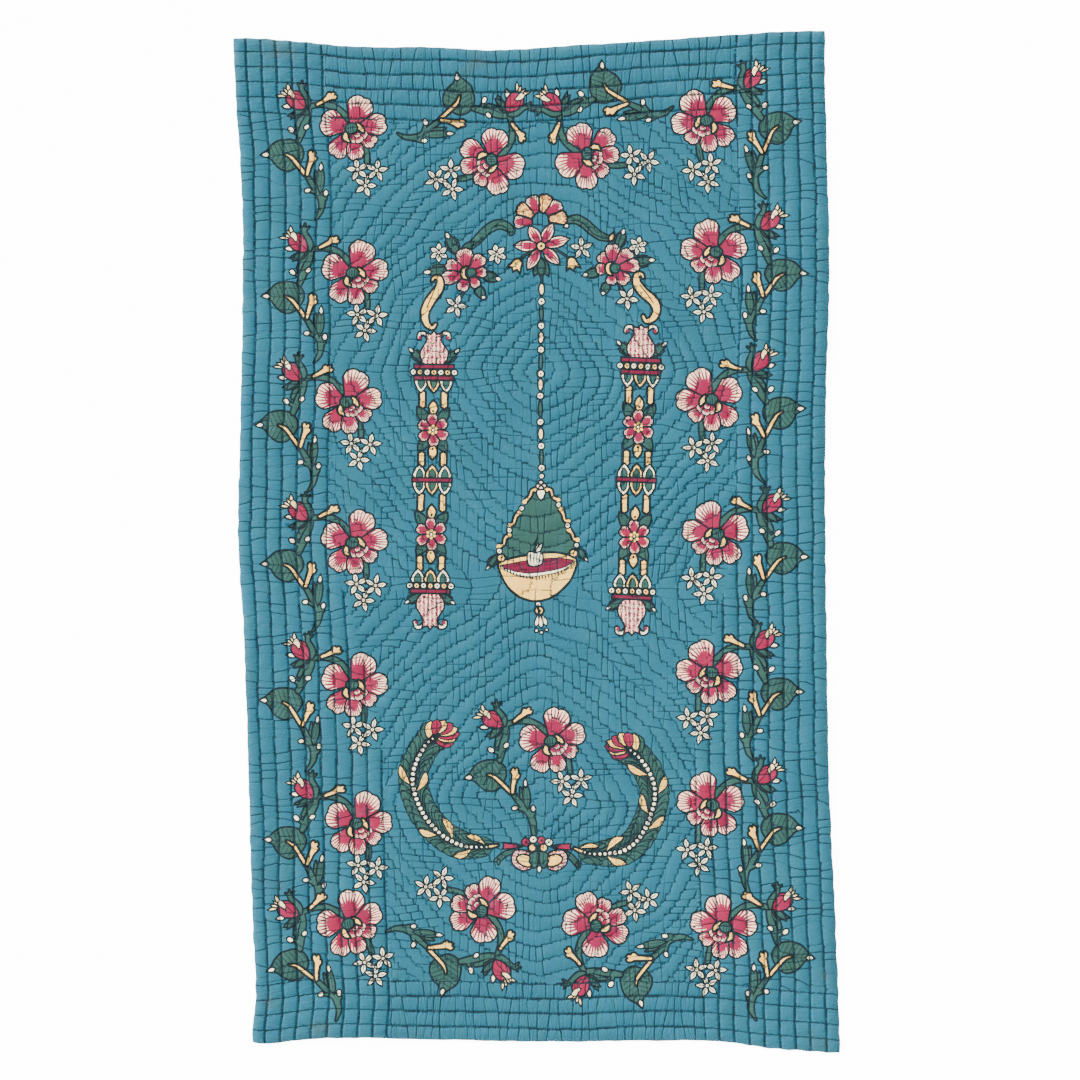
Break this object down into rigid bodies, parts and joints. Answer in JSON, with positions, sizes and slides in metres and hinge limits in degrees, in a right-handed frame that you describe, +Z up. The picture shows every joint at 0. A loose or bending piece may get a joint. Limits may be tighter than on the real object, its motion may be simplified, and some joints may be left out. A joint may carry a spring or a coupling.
{
  "type": "block printed quilt",
  "caption": "Thin hand quilted cotton mat that lies flat, printed with a niche, hanging lamp, garland and a border of flower sprigs.",
  "frame": {"origin": "middle of the outline, on the surface that the quilt lies on", "axes": "+Y along the length towards the head end of the print, +X across to the right, +Z up out of the printed face"},
  "size_m": [0.7244, 1.2196, 0.0084],
  "materials": {
    "printed_cotton": "matt plain woven cotton, teal ground with crimson, cream and green block print, hand quilted in rows"
  },
  "bodies": {
    "root": {"quilt": "printed_cotton"}
  },
  "joints": []
}
